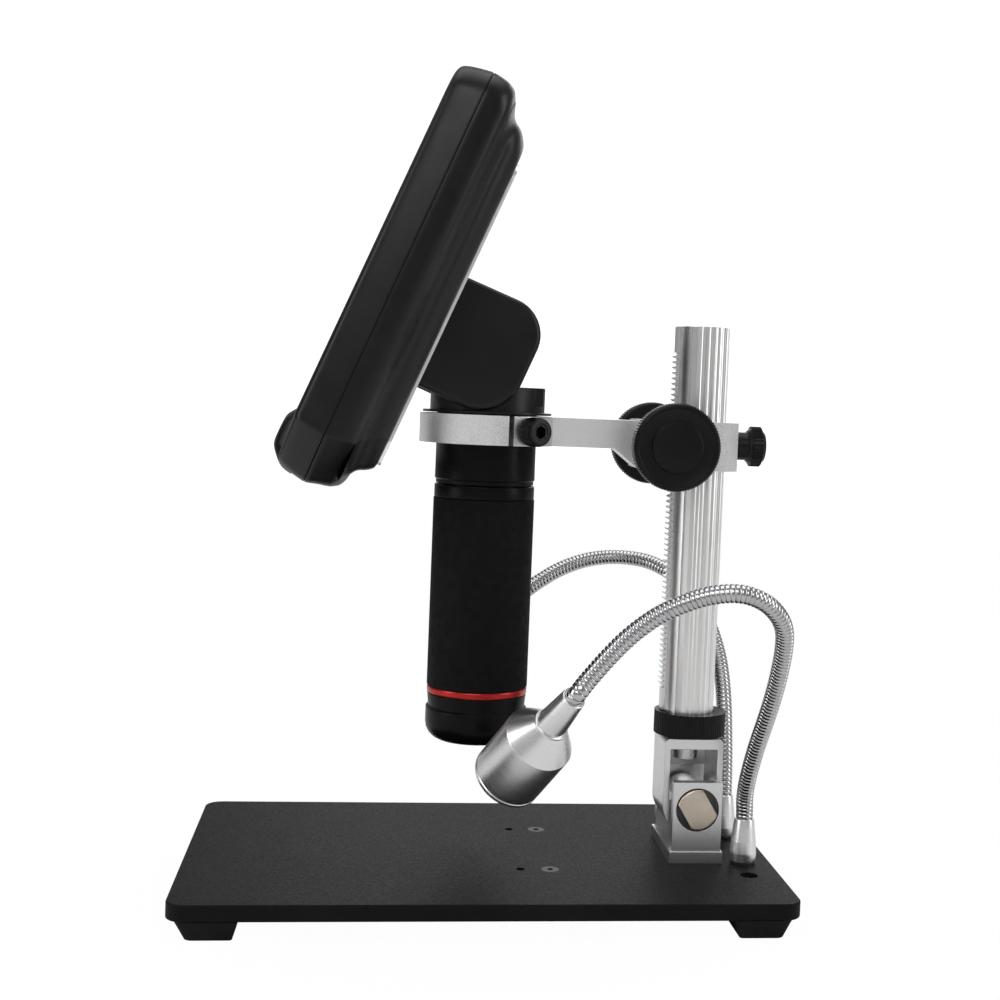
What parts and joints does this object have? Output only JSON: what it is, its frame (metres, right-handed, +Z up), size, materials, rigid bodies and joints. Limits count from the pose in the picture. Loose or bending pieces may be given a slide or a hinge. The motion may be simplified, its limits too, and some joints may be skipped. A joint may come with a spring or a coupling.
{
  "type": "digital microscope",
  "caption": "Digital microscope with a tilting display on a rack-and-pinion column, on a base plate with gooseneck lamps.",
  "frame": {"origin": "on the surface it stands on, under the middle of the base plate", "axes": "+Z up, the column stands towards +X, the user looks from -X, the front knob and lamp are towards -Y"},
  "size_m": [0.2, 0.1571, 0.2674],
  "materials": {
    "black_coat": "satin powder coat",
    "rubber_black": "matt",
    "screw_steel": "satin",
    "silver_anodised": "satin anodised",
    "blasted_aluminium": "bead-blasted, clear anodised",
    "nickel_warm": "satin warm nickel",
    "black_anodised": "satin black anodised",
    "black_plastic": "satin fine grain",
    "red_anodised": "satin red anodised",
    "circuit_board": "solder mask",
    "lens_glass": "polished",
    "screen_glass": "gloss black",
    "display_module": "smooth",
    "lamp_steel": "polished ribbed",
    "lamp_aluminium": "turned satin",
    "led_white": "smooth"
  },
  "bodies": {
    "base": {"base_plate": "black_coat", "base_feet": "rubber_black", "foot_screws": "screw_steel", "plate_screws": "screw_steel", "bracket_screws": "screw_steel", "tilt_bracket": "silver_anodised", "tilt_bolt": "nickel_warm", "tilt_nut": "nickel_warm", "wiring_cover": "black_plastic", "lamp_driver_board": "circuit_board", "front_lamp_socket": "lamp_aluminium", "rear_lamp_socket": "lamp_aluminium", "front_gooseneck": "lamp_steel", "rear_gooseneck": "lamp_steel", "front_lamp_sleeve": "lamp_aluminium", "rear_lamp_sleeve": "lamp_aluminium", "front_lamp_housing": "lamp_aluminium", "rear_lamp_housing": "lamp_aluminium", "front_lamp_board": "led_white", "rear_lamp_board": "led_white", "front_lamp_lens": "lens_glass", "rear_lamp_lens": "lens_glass"},
    "column_unit": {"column_yoke": "silver_anodised", "column": "silver_anodised", "rack": "screw_steel", "column_screw": "black_anodised"},
    "lock_ring": {"lock_ring": "black_anodised"},
    "carriage": {"arm_carriage": "blasted_aluminium"},
    "focus_knobs": {"pinion_shaft": "screw_steel", "front_knob": "black_anodised", "rear_knob": "black_anodised"},
    "column_lock": {"column_lock_screw": "black_anodised"},
    "collar_lock": {"collar_screw": "black_anodised"},
    "microscope": {"upper_barrel": "black_anodised", "head_collar": "black_plastic", "sensor_board": "circuit_board"},
    "focus_sleeve": {"focus_barrel": "black_anodised", "grip_sleeve": "rubber_black", "red_ring": "red_anodised", "end_cap": "black_plastic", "ring_light": "circuit_board"},
    "lens_group": {"lens_carrier": "black_anodised", "objective_lens": "lens_glass"},
    "display_head": {"neck_housing": "black_plastic", "hinge_pin": "screw_steel", "front_bezel": "black_plastic", "rear_shell": "black_plastic", "rear_plate": "silver_anodised", "display_panel": "display_module", "display_glass": "screen_glass", "main_board": "circuit_board", "shell_screws": "screw_steel", "side_sockets": "screw_steel"},
    "button_1": {"button_1": "black_plastic"},
    "button_2": {"button_2": "black_plastic"},
    "button_3": {"button_3": "black_plastic"},
    "button_4": {"button_4": "black_plastic"},
    "button_5": {"button_5": "black_plastic"},
    "button_6": {"button_6": "black_plastic"}
  },
  "joints": [
    {"name": "column_tilt", "type": "hinge", "parent": "base", "child": "column_unit", "pos_m": [0.0732, 0, 0.0295], "axis": [0, 1, 0], "range_deg": [-5, 30]},
    {"name": "lock_ring_turn", "type": "hinge", "parent": "column_unit", "child": "lock_ring", "pos_m": [0.0715, 0, 0.057], "axis": [0, 0, 1], "range_deg": [0, 180]},
    {"name": "carriage_slide", "type": "slide", "parent": "column_unit", "child": "carriage", "axis": [0, 0, 1], "range_m": [-0.028, 0.028]},
    {"name": "knob_turn", "type": "hinge", "parent": "carriage", "child": "focus_knobs", "pos_m": [0.0587, 0, 0.1544], "axis": [0, 1, 0], "range_deg": [-537, 537]},
    {"name": "column_lock_turn", "type": "hinge", "parent": "carriage", "child": "column_lock", "pos_m": [0.087, 0, 0.15505], "axis": [1, 0, 0], "range_deg": [0, 360]},
    {"name": "collar_screw_turn", "type": "hinge", "parent": "carriage", "child": "collar_lock", "pos_m": [0.00913, -0.01929, 0.15765], "axis": [0.5446, -0.8387, 0], "range_deg": [0, 360]},
    {"name": "body_turn", "type": "hinge", "parent": "carriage", "child": "microscope", "pos_m": [-0.0034, 0, 0.15765], "axis": [0, 0, 1], "range_deg": [-45, 45]},
    {"name": "focus_turn", "type": "hinge", "parent": "microscope", "child": "focus_sleeve", "pos_m": [-0.0034, 0, 0.1], "axis": [0, 0, 1], "range_deg": [-120, 120]},
    {"name": "lens_slide", "type": "slide", "parent": "microscope", "child": "lens_group", "axis": [0, 0, 1], "range_m": [-0.002, 0.002]},
    {"name": "display_tilt", "type": "hinge", "parent": "microscope", "child": "display_head", "pos_m": [-0.00746, 0, 0.17954], "axis": [0, 1, 0], "range_deg": [-10, 25]},
    {"name": "button_1_press", "type": "slide", "parent": "display_head", "child": "button_1", "axis": [0.9219, 0, -0.3875], "range_m": [0, 0.0008], "stiffness_N_per_m": 1500, "springref_m": -0.0006},
    {"name": "button_2_press", "type": "slide", "parent": "display_head", "child": "button_2", "axis": [0.9219, 0, -0.3875], "range_m": [0, 0.0008], "stiffness_N_per_m": 1500, "springref_m": -0.0006},
    {"name": "button_3_press", "type": "slide", "parent": "display_head", "child": "button_3", "axis": [0.9219, 0, -0.3875], "range_m": [0, 0.0008], "stiffness_N_per_m": 1500, "springref_m": -0.0006},
    {"name": "button_4_press", "type": "slide", "parent": "display_head", "child": "button_4", "axis": [0.9219, 0, -0.3875], "range_m": [0, 0.0008], "stiffness_N_per_m": 1500, "springref_m": -0.0006},
    {"name": "button_5_press", "type": "slide", "parent": "display_head", "child": "button_5", "axis": [0.9219, 0, -0.3875], "range_m": [0, 0.0008], "stiffness_N_per_m": 1500, "springref_m": -0.0006},
    {"name": "button_6_press", "type": "slide", "parent": "display_head", "child": "button_6", "axis": [0.9219, 0, -0.3875], "range_m": [0, 0.0008], "stiffness_N_per_m": 1500, "springref_m": -0.0006}
  ],
  "couplings": [
    {"joint": "knob_turn", "follows": "carriage_slide", "rad_per_m": 333.33},
    {"joint": "lens_slide", "follows": "focus_turn", "m_per_rad": 0.000948}
  ]
}
